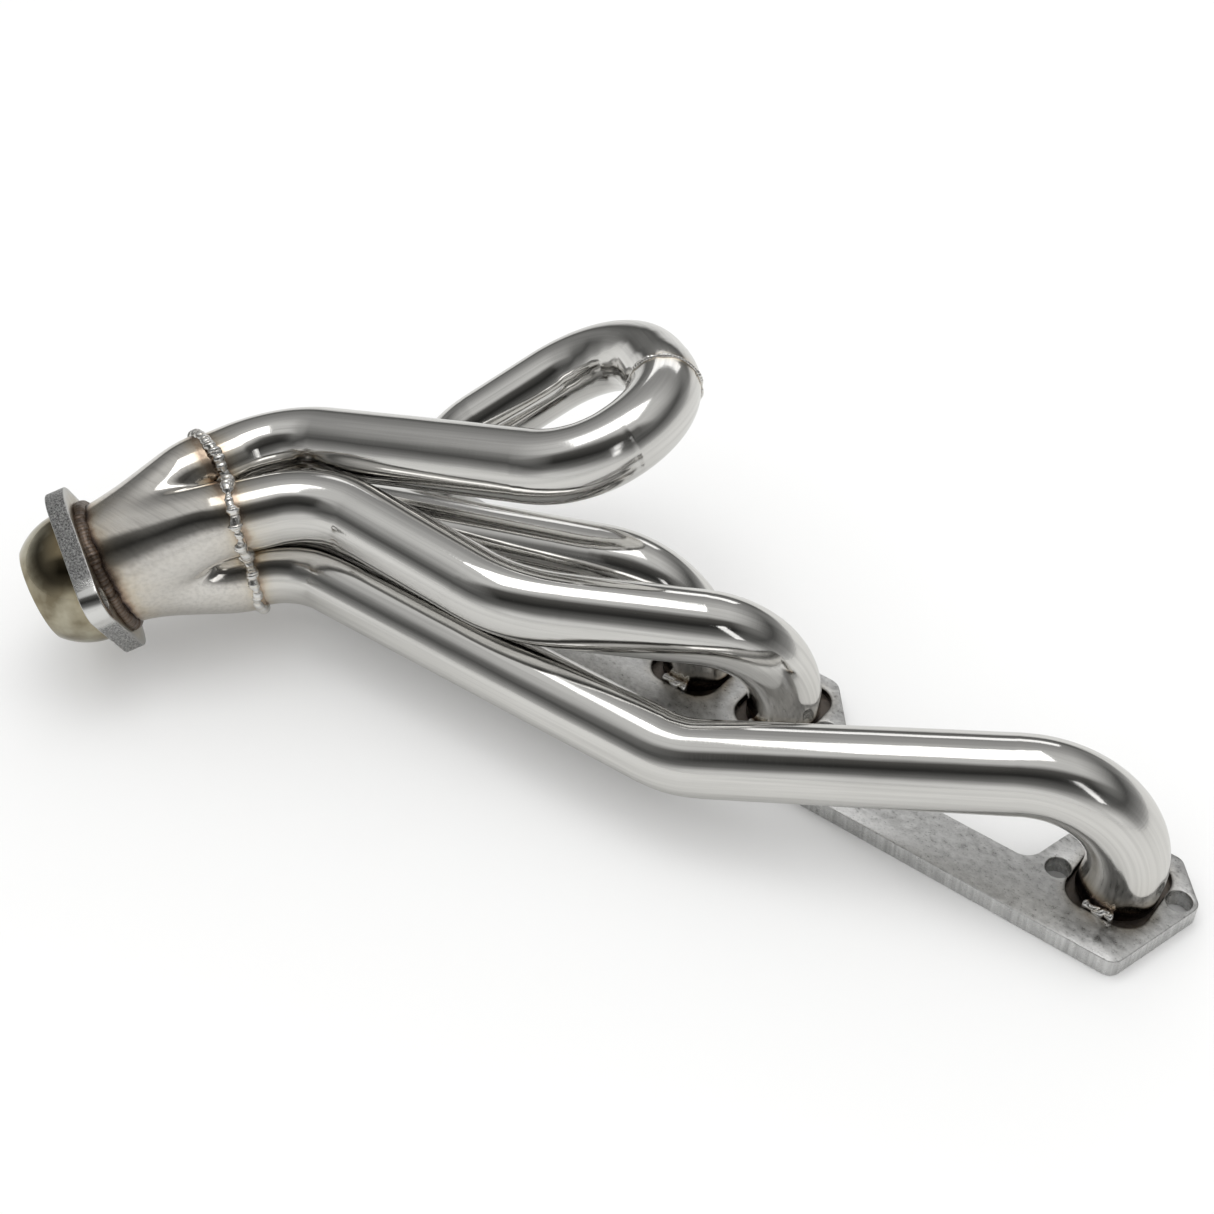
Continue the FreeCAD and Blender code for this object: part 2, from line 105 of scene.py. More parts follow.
SOCKET_DEPTH = 12.0
SHELL_WALL = 1.6
OUTLET = Vector((-267.6, -158.0, 52.3))
OUTLET_YAW, OUTLET_PITCH, OUTLET_ROLL = -121.5, -13.0, 18.5
NECK_RADIUS = 30.3
NECK_LENGTH = 9.0
NECK_INSERT = 4.5
OUTLET_PLATE = 9.525
BALL_RADIUS = 33.0
BALL_HEIGHT = 23.5
BALL_SHOULDER = 1.0

# ---------------------------------------------------------------- mesh detail
SIDES = 120
STEP = 1.4
EDGE_ROUND = 0.35
BEVEL = 0.55
WHOLE_TUBE = 1e9
SEED_SPACING = 900
BEAD_STEP = 0.3
BEAD_SECTION = 26
COLLECTOR_SIDES = 240
COLLECTOR_SMOOTHING = 40


# ---------------------------------------------------------------- directions and routes
def direction(yaw, pitch):
    yaw, pitch = radians(yaw), radians(pitch)
    return Vector((cos(pitch) * cos(yaw), cos(pitch) * sin(yaw), sin(pitch)))


UP = Vector((0, 0, 1))
INLET_AXIS = direction(INLET_YAW, INLET_PITCH)
_level = INLET_AXIS.cross(UP).normalized()
_roll = Matrix.Rotation(radians(INLET_ROLL), 3, INLET_AXIS)
INLET_SIDE = _roll @ _level
INLET_UP = _roll @ _level.cross(INLET_AXIS)
OUTLET_AXIS = direction(OUTLET_YAW, OUTLET_PITCH)
OUTLET_LONG = (
    Matrix.Rotation(radians(OUTLET_ROLL), 3, OUTLET_AXIS) @ UP.cross(OUTLET_AXIS).normalized()
)


def port_centre(tube):
    return Vector((PORTS[tube], 0, PLATE))


def bend_corner(tube, index):
    return Vector(ROUTES[tube][index][:3])


def rim_centre(tube):
    """Where the tube enters the collector."""
    side, up = SOCKET_CORNERS[tube]
    return INLET + (INLET_SIDE * side + INLET_UP * up) * (SOCKET_SPACING / 2)


def socket_axis(tube):
    return (rim_centre(tube) - bend_corner(tube, -1)).normalized()


def rise_axis(tube):
    return (bend_corner(tube, 0) - port_centre(tube)).normalized()


def route(tube):
    """The tube's centreline as (point, heading, distance, bend number or None, inward)."""
    start = port_centre(tube) - rise_axis(tube) * FOOT_LENGTH
    end = rim_centre(tube) + socket_axis(tube) * SLIP_LENGTH
    corners = [Vector(bend[:3]) for bend in ROUTES[tube]]
    stops = [start, *corners, end]
    samples = []
    here, travelled = start, 0.0

    def straight(target, heading):
        nonlocal here, travelled
        span = (target - here).dot(heading)
        count = max(2, ceil(span / STEP))
        for number in range(count):
            along = span * number / count
            samples.append((here + heading * along, heading, travelled + along, None, None))
        here, travelled = target, travelled + span

    for index, (corner, bend) in enumerate(zip(corners, ROUTES[tube])):
        radius = bend[3]
        arriving = (corner - stops[index]).normalized()
        leaving = (stops[index + 2] - corner).normalized()
        turn = arriving.angle(leaving)
        setback = radius * tan(turn / 2)
        straight(corner - arriving * setback, arriving)
        inward = (leaving - arriving * leaving.dot(arriving)).normalized()
        centre = here + inward * radius
        count = max(8, ceil(radius * turn / STEP))
        for number in range(count):
            angle = turn * number / count
            outward = inward * -cos(angle) + arriving * sin(angle)
            heading = arriving * cos(angle) + inward * sin(angle)
            point = centre + outward * radius
            samples.append((point, heading, travelled + radius * angle, index, -outward))
        here, travelled = corner + leaving * setback, travelled + radius * turn
    last = (end - corners[-1]).normalized()
    straight(end, last)
    samples.append((end, last, travelled, None, None))
    return samples


def seam_distance(tube):
    """How far along the looped tube the bend before the seam ends."""
    arc = [sample for sample in route(tube) if sample[3] == SEAM_BEND - 1]
    return arc[-1][2] + STEP


# ---------------------------------------------------------------- meshes
def skin(name, rings, loop=False, caps=False):
    """A mesh through rings of points given in millimetres; a loop joins the last to the first."""
    around = len(rings[0])
    points = [point * MM for ring in rings for point in ring]
    faces = []
    for row in range(len(rings) if loop else len(rings) - 1):
        following = (row + 1) % len(rings)
        for column in range(around):
            beside = (column + 1) % around
            faces.append(
                (
                    row * around + column,
                    row * around + beside,
                    following * around + beside,
                    following * around + column,
                )
            )
    if caps:
        faces.append(tuple(reversed(range(around))))
        faces.append(tuple((len(rings) - 1) * around + column for column in range(around)))
    mesh = bpy.data.meshes.new(name)
    mesh.from_pydata(points, [], faces)
    mesh.validate()
    return finished(name, mesh)


def finished(name, mesh, sharp=48):
    """An object with outward normals and smooth shading, creased only at sharp corners."""
    work = bmesh.new()
    work.from_mesh(mesh)
    bmesh.ops.recalc_face_normals(work, faces=work.faces)
    work.to_mesh(mesh)
    work.free()
    mesh.polygons.foreach_set("use_smooth", [True] * len(mesh.polygons))
    mesh.set_sharp_from_angle(angle=radians(sharp))
    made = bpy.data.objects.new(name, mesh)
    bpy.context.scene.collection.objects.link(made)
    return made


def paint(piece, name, values):
    """Store one number, or one vector, per vertex for the materials to read."""
    vector = not isinstance(values[0], float)
    kind = "FLOAT_VECTOR" if vector else "FLOAT"
    attribute = piece.data.attributes.new(name, kind, "POINT")
    if vector:
        attribute.data.foreach_set("vector", [number for value in values for number in value])
    else:
        attribute.data.foreach_set("value", values)


def place(piece, slot, material, *nodes):
    """Put the piece in the place of its CAD nodes, with its material."""
    piece.data.materials.clear()
    piece.data.materials.append(material)
    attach(piece, BODY)
    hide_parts(*nodes)
    return piece


def falloff(distance, reach):
    return exp(-max(0.0, distance) / reach)


def wander(x, y, z, size):
    """Smooth noise from -1 to 1 with features of about the given size."""
    return noise.noise(Vector((x, y, z)) / size)


# ---------------------------------------------------------------- material nodes
def add(tree, kind, inputs=None, **settings):
    made = tree.nodes.new(kind)
    for name, value in settings.items():
        setattr(made, name, value)
    for name, value in (inputs or {}).items():
        socket = made.inputs[name]
        if isinstance(value, bpy.types.NodeSocket):
            tree.links.new(value, socket)
        else:
            socket.default_value = value
    return made


def calc(tree, operation, first, second=0.0, clamp=False):
    made = add(tree, "ShaderNodeMath", {0: first, 1: second}, operation=operation)
    made.use_clamp = clamp
    return made.outputs[0]


def spread(tree, value, low, high, to_low=0.0, to_high=1.0):
    """Map low..high to to_low..to_high, held at the ends."""
    inputs = {
        "Value": value,
        "From Min": low,
        "From Max": high,
        "To Min": to_low,
        "To Max": to_high,
    }
    return add(tree, "ShaderNodeMapRange", inputs).outputs[0]


def ramp(tree, factor, stops):
    made = add(tree, "ShaderNodeValToRGB", {"Fac": factor})
    band = made.color_ramp
    while len(band.elements) < len(stops):
        band.elements.new(0.5)
    for element, (place_on, colour) in zip(band.elements, stops):
        element.position = place_on
        element.color = (*colour, 1.0)
    return made.outputs["Color"]


def mix(tree, factor, first, second, blend="MIX"):
    made = tree.nodes.new("ShaderNodeMix")
    made.data_type = "RGBA"
    made.blend_type = blend
    for index, value in ((0, factor), (6, first), (7, second)):
        if isinstance(value, bpy.types.NodeSocket):
            tree.links.new(value, made.inputs[index])
        else:
            made.inputs[index].default_value = value if index == 0 else (*value, 1.0)
    return made.outputs[2]


def grain(tree, vector, scale, stretch=(1, 1, 1), detail=3.0, roughness=0.55):
    """Noise from 0 to 1; scale counts features per metre."""
    mapped = add(tree, "ShaderNodeMapping", {"Vector": vector, "Scale": stretch}).outputs[0]
    inputs = {"Vector": mapped, "Scale": scale, "Detail": detail, "Roughness": roughness}
    return add(tree, "ShaderNodeTexNoise", inputs).outputs["Fac"]


def bump(tree, height, strength, distance, normal=None):
    inputs = {"Height": height, "Strength": strength, "Distance": distance}
    if normal is not None:
        inputs["Normal"] = normal
    return add(tree, "ShaderNodeBump", inputs).outputs["Normal"]


def metal(name):
    """A material with a fully metallic shader, and its tree and shader."""
    material = bpy.data.materials.new(name)
    material.use_nodes = True
    tree = material.node_tree
    shader = next(n for n in tree.nodes if n.type == "BSDF_PRINCIPLED")
    shader.inputs["Metallic"].default_value = 1.0
    return material, tree, shader


def own_place(tree):
    """Where a point lies on the part, in metres."""
    return add(tree, "ShaderNodeTexCoord").outputs["Object"]


def attribute(tree, name, output="Fac"):
    """A value that paint() stored. Heat tint, and on the primary tubes the painted shade at the
    foot, is stored as scorch: Cycles uses the name heat itself.
    """
    return add(tree, "ShaderNodeAttribute", attribute_name=name).outputs[output]


HEAT_STOPS = [
    (0.0, (1.0, 1.0, 1.0)),
    (0.18, (0.93, 0.87, 0.77)),
    (0.38, (0.64, 0.52, 0.41)),
    (0.58, (0.33, 0.25, 0.2)),
    (0.78, (0.14, 0.11, 0.1)),
    (1.0, (0.055, 0.045, 0.04)),
]


def heated(tree, base, heat, where):
    """The base colour with the colours that heat leaves on steel, in uneven patches."""
    patches = spread(tree, grain(tree, where, 160, detail=4), 0.3, 0.7, 0.65, 1.25)
    tint = ramp(tree, calc(tree, "MULTIPLY", heat, patches, True), HEAT_STOPS)
    return mix(tree, 1.0, base, tint, "MULTIPLY")


def polished_steel(name, tone, low, high, marks):
    """Mirror-polished stainless with faint polishing lines that follow the piece."""
    material, tree, shader = metal(name)
    unrolled = attribute(tree, "unrolled", "Vector")
    # scorch holds heat tint, and on the primary tubes also the near-black painted shade at their
    # feet.
    heat = attribute(tree, "scorch")
    belt = grain(tree, unrolled, 1.0, (1500, 60, 60), 2)
    lines = grain(tree, unrolled, 1.0, (9, 520, 520), 3)
    clouds = grain(tree, unrolled, 34, (0.4, 1, 1), 4)
    tint = mix(tree, spread(tree, clouds, 0.35, 0.7), tone, tuple(c * 0.93 for c in tone))
    tint = mix(tree, spread(tree, lines, 0.42, 0.72, 0.0, 0.6), tint, tuple(c * 0.72 for c in tone))
    tree.links.new(heated(tree, tint, heat, unrolled), shader.inputs["Base Color"])
    rough = spread(tree, calc(tree, "MULTIPLY", clouds, lines), 0.12, 0.4, low, high)
    rough = calc(tree, "ADD", rough, calc(tree, "MULTIPLY", heat, 0.22))
    tree.links.new(rough, shader.inputs["Roughness"])
    flats = bump(tree, grain(tree, unrolled, 1.0, (7, 150, 150), 2), 0.3, 0.0002)
    waves = bump(tree, grain(tree, unrolled, 60, (0.5, 1, 1), 2), 0.35, 0.0003, flats)
    scratches = bump(tree, calc(tree, "ADD", belt, lines), marks, 0.00007, waves)
    tree.links.new(scratches, shader.inputs["Normal"])
    return material


def seat_steel(name):
    """The ball end: polished, with olive and bronze bands left by heat."""
    material, tree, shader = metal(name)
    unrolled = attribute(tree, "unrolled", "Vector")
    heat = attribute(tree, "scorch")
    clouds = grain(tree, unrolled, 45, (1, 1, 1), 4)
    tint = ramp(
        tree,
        clouds,
        [(0.34, (0.52, 0.49, 0.39)), (0.48, (0.38, 0.35, 0.265)), (0.62, (0.22, 0.19, 0.13))],
    )
    tree.links.new(heated(tree, tint, heat, unrolled), shader.inputs["Base Color"])
    rough = spread(tree, clouds, 0.3, 0.7, 0.05, 0.13)
    tree.links.new(rough, shader.inputs["Roughness"])
    dents = bump(tree, grain(tree, unrolled, 90, detail=3), 0.2, 0.0002)
    tree.links.new(dents, shader.inputs["Normal"])
    return material


def weld_steel(name, tone, heat_share, rough_low, rough_high):
    """Cast-looking bead metal: bright crests, burnt hollows."""
    material, tree, shader = metal(name)
    where = own_place(tree)
    lumps = grain(tree, where, 420, detail=4)
    fine = grain(tree, where, 2200, detail=3)
    hollow = attribute(tree, "hollow")
    burnt = calc(tree, "ADD", hollow, spread(tree, lumps, 0.5, 0.8, 0, 0.3))
    heat = calc(tree, "MULTIPLY", burnt, heat_share)
    tree.links.new(heated(tree, tone, heat, where), shader.inputs["Base Color"])
    tree.links.new(spread(tree, fine, 0.3, 0.7, rough_low, rough_high), shader.inputs["Roughness"])
    soft = bump(tree, lumps, 0.5, 0.0005)
    tree.links.new(bump(tree, fine, 0.3, 0.00012, soft), shader.inputs["Normal"])
    return material


def port_rim(tree, where, reach):
    """1 at the rims of the four ports, falling to 0 the given distance away from them."""
    parts = add(tree, "ShaderNodeSeparateXYZ", {0: where})
    across = calc(tree, "ABSOLUTE", parts.outputs["X"])
    tall = calc(tree, "ABSOLUTE", parts.outputs["Y"])
    tall = calc(tree, "SUBTRACT", tall, (PORT_HALF_HEIGHT - PORT_CORNER) * MM)
    tall = calc(tree, "MAXIMUM", tall, 0.0)
    rims = []
    for centre in sorted({abs(x) for x in PORTS.values()}):
        wide = calc(tree, "ABSOLUTE", calc(tree, "SUBTRACT", across, centre * MM))
        wide = calc(tree, "SUBTRACT", wide, (PORT_HALF_WIDTH - PORT_CORNER) * MM)
        wide = calc(tree, "MAXIMUM", wide, 0.0)
        squares = [calc(tree, "MULTIPLY", side, side) for side in (wide, tall)]
        square = calc(tree, "ADD", *squares)
        rims.append(calc(tree, "SQRT", square))
    nearest = calc(tree, "MINIMUM", *rims)
    return spread(tree, nearest, PORT_CORNER * MM, (PORT_CORNER + reach) * MM, 1.0, 0.0)


def plate_steel(name):
    """The head flange: rolled plate with a mottled, pitted face, cleaner cut edges and near-black
    painted shade at the ports.
    """
    material, tree, shader = metal(name)
    where = own_place(tree)
    normal = add(tree, "ShaderNodeNewGeometry").outputs["Normal"]
    flat = calc(tree, "ABSOLUTE", add(tree, "ShaderNodeSeparateXYZ", {0: normal}).outputs["Z"])
    edge = spread(tree, flat, 0.25, 0.6, 1.0, 0.0)
    clouds = grain(tree, where, 26, (0.5, 1.3, 1), 5, 0.6)
    mottle = grain(tree, where, 330, (0.7, 1, 1), 5, 0.7)
    pits = spread(tree, grain(tree, where, 1500, (0.55, 1, 1), 3, 0.6), 0.6, 0.74)
    broad = calc(tree, "MULTIPLY", clouds, 0.25)
    uneven = calc(tree, "ADD", broad, calc(tree, "MULTIPLY", mottle, 0.75))
    face = ramp(
        tree,
        uneven,
        [(0.34, (0.46, 0.458, 0.453)), (0.5, (0.66, 0.657, 0.65)), (0.66, (0.84, 0.837, 0.83))],
    )
    face = mix(tree, calc(tree, "MULTIPLY", pits, 0.75), face, (0.06, 0.058, 0.056))
    cuts = grain(tree, where, 1.0, (500, 500, 25), 3)
    side = ramp(tree, cuts, [(0.3, (0.5, 0.5, 0.5)), (0.7, (0.76, 0.76, 0.76))])
    colour = mix(tree, edge, face, side)
    # Painted shade: the port walls and a band about 1.3 mm wide round each port are darkened to
    # near black.
    port_shade = calc(tree, "MULTIPLY", port_rim(tree, where, 1.3), 0.9)
    colour = mix(tree, port_shade, colour, (0.04, 0.036, 0.032))
    burnt = calc(tree, "MULTIPLY", port_rim(tree, where, 5.0), 0.08)
    tree.links.new(heated(tree, colour, burnt, where), shader.inputs["Base Color"])
    rough = spread(tree, mottle, 0.3, 0.7, 0.24, 0.46)
    rough = calc(tree, "SUBTRACT", rough, calc(tree, "MULTIPLY", edge, 0.06))
    tree.links.new(rough, shader.inputs["Roughness"])
    pitted = bump(tree, pits, -0.35, 0.00025)
    rolled = bump(tree, mottle, 0.35, 0.0003, pitted)
    sawn = bump(tree, calc(tree, "MULTIPLY", cuts, edge), 0.3, 0.0002, rolled)
    tree.links.new(sawn, shader.inputs["Normal"])
    return material


def outlet_steel(name):
    """The outlet flange: brushed faces, granular long edges and polished bolt corners."""
    material, tree, shader = metal(name)
    where = own_place(tree)
    normal = add(tree, "ShaderNodeNewGeometry").outputs["Normal"]
    dot = add(tree, "ShaderNodeVectorMath", {0: normal, 1: OUTLET_AXIS}, operation="DOT_PRODUCT")
    edge = spread(tree, calc(tree, "ABSOLUTE", dot.outputs["Value"]), 0.2, 0.45, 1.0, 0.0)
    centred = add(tree, "ShaderNodeVectorMath", {0: where, 1: OUTLET * MM}, operation="SUBTRACT")
    lengthways = {0: centred.outputs[0], 1: OUTLET_LONG}
    along = add(tree, "ShaderNodeVectorMath", lengthways, operation="DOT_PRODUCT")
    reach = calc(tree, "ABSOLUTE", along.outputs["Value"])
    corner = spread(tree, reach, 0.040, 0.045)
    rough_edge = calc(tree, "MULTIPLY", edge, calc(tree, "SUBTRACT", 1.0, corner))
    sand = grain(tree, where, 1100, (1, 1, 1), 3, 0.7)
    cloud = grain(tree, where, 60, detail=3)
    face = ramp(tree, cloud, [(0.3, (0.50, 0.50, 0.49)), (0.7, (0.66, 0.66, 0.65))])
    granular = ramp(tree, sand, [(0.38, (0.16, 0.16, 0.16)), (0.62, (0.62, 0.62, 0.62))])
    colour = mix(tree, rough_edge, face, granular)
    colour = mix(tree, calc(tree, "MULTIPLY", edge, corner), colour, (0.80, 0.80, 0.79))
    heat = attribute(tree, "scorch")
    tree.links.new(heated(tree, colour, heat, where), shader.inputs["Base Color"])
    rough = calc(tree, "SUBTRACT", 0.34, calc(tree, "MULTIPLY", corner, 0.2))
    tree.links.new(rough, shader.inputs["Roughness"])
    grit = bump(tree, calc(tree, "MULTIPLY", sand, rough_edge), 0.9, 0.0009)
    tree.links.new(bump(tree, cloud, 0.1, 0.0003, grit), shader.inputs["Normal"])
    return material


POLISHED = polished_steel("polished_stainless", (0.80, 0.79, 0.77), 0.04, 0.16, 0.16)
SHELL = polished_steel("collector_stainless", (0.77, 0.75, 0.72), 0.06, 0.16, 0.015)
SEAT = seat_steel("tinted_ball_stainless")
BEAD = weld_steel("bright_weld_bead", (0.84, 0.835, 0.825), 0.16, 0.1, 0.26)
BURNT_BEAD = weld_steel("burnt_weld_bead", (0.19, 0.155, 0.135), 0.6, 0.25, 0.5)
PORT_BEAD = weld_steel("port_weld_bead", (0.16, 0.14, 0.125), 0.7, 0.3, 0.55)
HEAD_PLATE = plate_steel("mottled_plate")
OUTLET_STEEL = outlet_steel("granular_edge_plate")


# ---------------------------------------------------------------- primary tubes
def frames_along(samples):
    """A sideways direction for each sample that doesn't twist along the tube."""
    heading = samples[0][1]
    side = heading.orthogonal().normalized()
    sides = []
    for sample in samples:
        side = (side - sample[1] * side.dot(sample[1])).normalized()
        sides.append(side)
    return sides


def tube_shape(distance, angle, around_inward, number, seed):
    """How far the wall stands off a true cylinder, in millimetres."""
    lazy = 0.05 * wander(distance, 17 * cos(angle), 17 * sin(angle) + seed * 50, 24)
    if number is None:
        return lazy
    flattened = -0.16 * max(0.0, -around_inward) ** 2
    ripple = 0.035 * max(0.0, around_inward) * sin(distance / 2.1)
    return lazy + flattened + ripple


def primary_tube(name, tube, node, first, last, heat_and_shade_at, seed):
    """One bent tube between two distances, as a closed shell with rounded ends."""
    samples = [sample for sample in route(tube) if first <= sample[2] <= last]
    sides = frames_along(samples)
    angles = [2 * pi * column / SIDES for column in range(SIDES)]
    rings, unrolled, heats = [], [], []

    def ring(sample, side, radius, shift=0.0, shaped=True):
        point, heading, distance, number, inward = sample
        other = heading.cross(side)
        places = []
        for angle in angles:
            spoke = side * cos(angle) + other * sin(angle)
            off = 0.0
            if shaped:
                toward = spoke.dot(inward) if inward else 0.0
                off = tube_shape(distance, angle, toward, number, seed)
            places.append(point + heading * shift + spoke * (radius + off))
            along = distance + seed * SEED_SPACING
            unrolled.append(Vector((along, radius * cos(angle), radius * sin(angle))) * MM)
            heats.append(heat_and_shade_at(distance + shift))
        rings.append(places)

    inner = TUBE_RADIUS - TUBE_WALL
    ring(samples[0], sides[0], TUBE_RADIUS - EDGE_ROUND)
    for index, sample in enumerate(samples):
        shift = EDGE_ROUND if index == 0 else 0.0
        shift = -EDGE_ROUND if index == len(samples) - 1 else shift
        ring(sample, sides[index], TUBE_RADIUS, shift)
    ring(samples[-1], sides[-1], TUBE_RADIUS - EDGE_ROUND)
    for index in range(len(samples) - 1, -1, -2):
        ring(samples[index], sides[index], inner, shaped=False)
    ring(samples[0], sides[0], inner, shaped=False)
    piece = skin(name, rings, loop=True)
    paint(piece, "unrolled", unrolled)
    # On the tubes, scorch holds heat tint and the near-black painted shade at the foot.
    paint(piece, "scorch", heats)
    return place(piece, "polished_tube", POLISHED, node)


def foot_shade_and_heat(distance):
    """Near-black painted shade where the tube goes into its port, then a faint straw heat tint a
    little higher.
    """
    height = distance - FOOT_LENGTH
    return 0.95 * falloff(height - 0.5, 2.4) + 0.08 * falloff(height, 12)


def collector_heat(tube):
    """Heat colours on a tube that grow towards its bead on the collector's rim."""
    rim = route(tube)[-1][2] - SLIP_LENGTH

    def heat(distance):
        return 0.42 * falloff(rim - 3 - distance, 3.5) + 0.09 * falloff(rim - distance, 14)

    return heat


def add_up(*parts):
    return lambda distance: min(1.2, sum(part(distance) for part in parts))


# These tubes carry heat tint, and painted shade where they go into their ports.
for seed, tube in enumerate(("tube_1", "tube_2", "tube_3")):
    heat_and_foot_shade = add_up(foot_shade_and_heat, collector_heat(tube))
    primary_tube(f"primary_{tube}_skin", tube, f"primary_{tube}", 0.0, WHOLE_TUBE, heat_and_foot_shade, seed)

SEAM = seam_distance("tube_4")


def seam_heat(distance):
    return 0.3 * falloff(abs(distance - SEAM) - 1.0, 1.6)


# The rear part of the loop carries the same painted shade at its foot.
primary_tube(
    "rear_tube_skin", "tube_4", "primary_tube_4_rear", 0.0, SEAM, add_up(foot_shade_and_heat, seam_heat), 3
)
primary_tube(
    "front_tube_skin",
    "tube_4",
    "primary_tube_4_front",
    SEAM - STEP,
    WHOLE_TUBE,
    add_up(seam_heat, collector_heat("tube_4")),
    4,
)


# ---------------------------------------------------------------- collector
def lobe_reach(centres, radius, angle):
    """Distance from the axis to the outside of the lobes in one direction, valleys rounded."""
    reaches = []
    for across, up in centres:
        distance = sqrt(across * across + up * up)
        off = angle - atan2(up, across)
        inside = radius * radius - (distance * sin(off)) ** 2
        reaches.append(distance * cos(off) + sqrt(max(0.0, inside)))
    sharpness = 0.55
    top = max(reaches)
    return top + log(sum(exp((reach - top) * sharpness) for reach in reaches)) / sharpness


def smoothed(rings, passes):
    """The rings with every point drawn towards its neighbours along the piece; the ends stay."""
    for _ in range(passes):
        inner = [
            [(before + here * 2 + after) / 4 for before, here, after in zip(*rows)]
            for rows in zip(rings, rings[1:], rings[2:])
        ]
        rings = [rings[0], *inner, rings[-1]]
    return rings


def collector_sections():
    """(centre, axis, socket centres, radius, distance from the rim) from the rim to the neck."""
    tubes = list(ROUTES)
    neck = OUTLET - OUTLET_AXIS * NECK_LENGTH
    sections = []
    for number in range(9):
        depth = SOCKET_DEPTH * number / 8
        centres = [rim_centre(tube) + socket_axis(tube) * depth for tube in tubes]
        sections.append((INLET_AXIS, centres, SOCKET_RADIUS, depth))
    span = (neck - INLET).length - SOCKET_DEPTH
    for number in range(1, 41):
        share = number / 40
        centres = []
        for tube in tubes:
            throat = rim_centre(tube) + socket_axis(tube) * SOCKET_DEPTH
            centres.append(throat.lerp(neck, share))
        axis = INLET_AXIS.lerp(OUTLET_AXIS, share).normalized()
        radius = SOCKET_RADIUS + (NECK_RADIUS - SOCKET_RADIUS) * share
        sections.append((axis, centres, radius, SOCKET_DEPTH + span * share))
    for number in range(1, 9):
        past = (NECK_LENGTH + NECK_INSERT) * number / 8
        centres = [neck + OUTLET_AXIS * past] * 4
        sections.append((OUTLET_AXIS, centres, NECK_RADIUS, SOCKET_DEPTH + span + past))
    return sections


def collector():
    """Four lobes that run together into the round neck."""
    sections = collector_sections()
    total = sections[-1][3]
    outside, inside, depths = [], [], []
    for axis, centres, radius, depth in sections:
        middle = sum(centres, Vector()) / len(centres)
        across = (INLET_SIDE - axis * INLET_SIDE.dot(axis)).normalized()
        up = axis.cross(across)
        up *= 1 if up.dot(INLET_UP) > 0 else -1
        flat = [((centre - middle).dot(across), (centre - middle).dot(up)) for centre in centres]
        ring, lining = [], []
        for column in range(COLLECTOR_SIDES):
            angle = 2 * pi * column / COLLECTOR_SIDES
            reach = lobe_reach(flat, radius, angle) if radius < NECK_RADIUS else NECK_RADIUS
            spoke = across * cos(angle) + up * sin(angle)
            ring.append(middle + spoke * reach)
            lining.append(middle + spoke * (reach - SHELL_WALL))
        outside.append(ring)
        inside.append(lining)
        depths.append(depth)
    rings = smoothed(outside, COLLECTOR_SMOOTHING) + smoothed(inside, COLLECTOR_SMOOTHING)[::-1]
    unrolled, heats = [], []
    for ring, depth in zip(rings, depths + depths[::-1]):
        to_neck = total - NECK_INSERT - depth
        rim = 0.36 * falloff(depth - 3, 3) + 0.07 * falloff(depth, 12)
        neck = 0.7 * falloff(to_neck - 5, 2.6) + 0.2 * falloff(to_neck - 4, 11)
        for point in ring:
            unrolled.append(point * MM)
            uneven = 1 + 0.5 * wander(*point, 16)
            heats.append(min(1.1, (rim + neck) * uneven))
    piece = skin("collector_skin", rings, loop=True)
    paint(piece, "unrolled", unrolled)
    paint(piece, "scorch", heats)
    return place(piece, "collector_shell", SHELL, "collector_body")


collector()


# ---------------------------------------------------------------- ball end
def lathe(name, profile, centre, axis, side, sides=160):
    """Turn a closed profile of (height, radius) about the axis."""
    other = axis.cross(side)
    rings = []
    for height, radius in profile:
        base = centre + axis * height
        rings.append(
            [
                base + (side * cos(2 * pi * n / sides) + other * sin(2 * pi * n / sides)) * radius
                for n in range(sides)
            ]
        )
    return skin(name, rings, loop=True), rings


def ball_end():
    """The hollow ball end, turned as one profile: spigot, ball, lip and the hollow to the bore."""
    face = OUTLET + OUTLET_AXIS * OUTLET_PLATE
    spigot = NECK_INSERT - OUTLET_PLATE
    bore = NECK_RADIUS - SHELL_WALL
    inner = BALL_RADIUS - SHELL_WALL
    latitude = asin(BALL_HEIGHT / BALL_RADIUS)
    steps = 28
    profile = [
        (spigot, NECK_RADIUS),
        (0.0, NECK_RADIUS),
        (0.0, BALL_RADIUS - 0.5),
        (0.12, BALL_RADIUS - 0.1),
    ]
    for number in range(1, steps + 1):
        angle = latitude * number / steps
        profile.append((BALL_RADIUS * sin(angle), BALL_RADIUS * cos(angle)))
    lip_outer = BALL_RADIUS * cos(latitude)
    inner_latitude = asin((BALL_HEIGHT - BALL_SHOULDER) / inner)
    lip_inner = inner * cos(inner_latitude)
    height = profile[-1][0]
    profile[-1] = (height - 0.3, sqrt(BALL_RADIUS**2 - (height - 0.3) ** 2))
    profile.append((height, lip_outer - 0.35))
    profile.append((height, lip_inner + 0.3))
    profile.append((height - 0.3, lip_inner + 0.05))
    for number in range(steps, -1, -1):
        angle = inner_latitude * number / steps
        below_lip = 0.6 if number == steps else 0.0
        profile.append((BALL_SHOULDER + inner * sin(angle) - below_lip, inner * cos(angle)))
    profile += [(BALL_SHOULDER, bore), (spigot, bore)]
    piece, rings = lathe("ball_end_skin", profile, face, OUTLET_AXIS, OUTLET_LONG)
    unrolled = [point * MM for ring in rings for point in ring]
    heats = []
    for height, _ in profile:
        value = 0.3 * falloff(height, 4.5) + 0.12 * falloff(BALL_HEIGHT - height, 4)
        heats += [value] * len(rings[0])
    paint(piece, "unrolled", unrolled)
    paint(piece, "scorch", heats)
    return place(piece, "heat_tinted_seat", SEAT, "ball_seat")


ball_end()


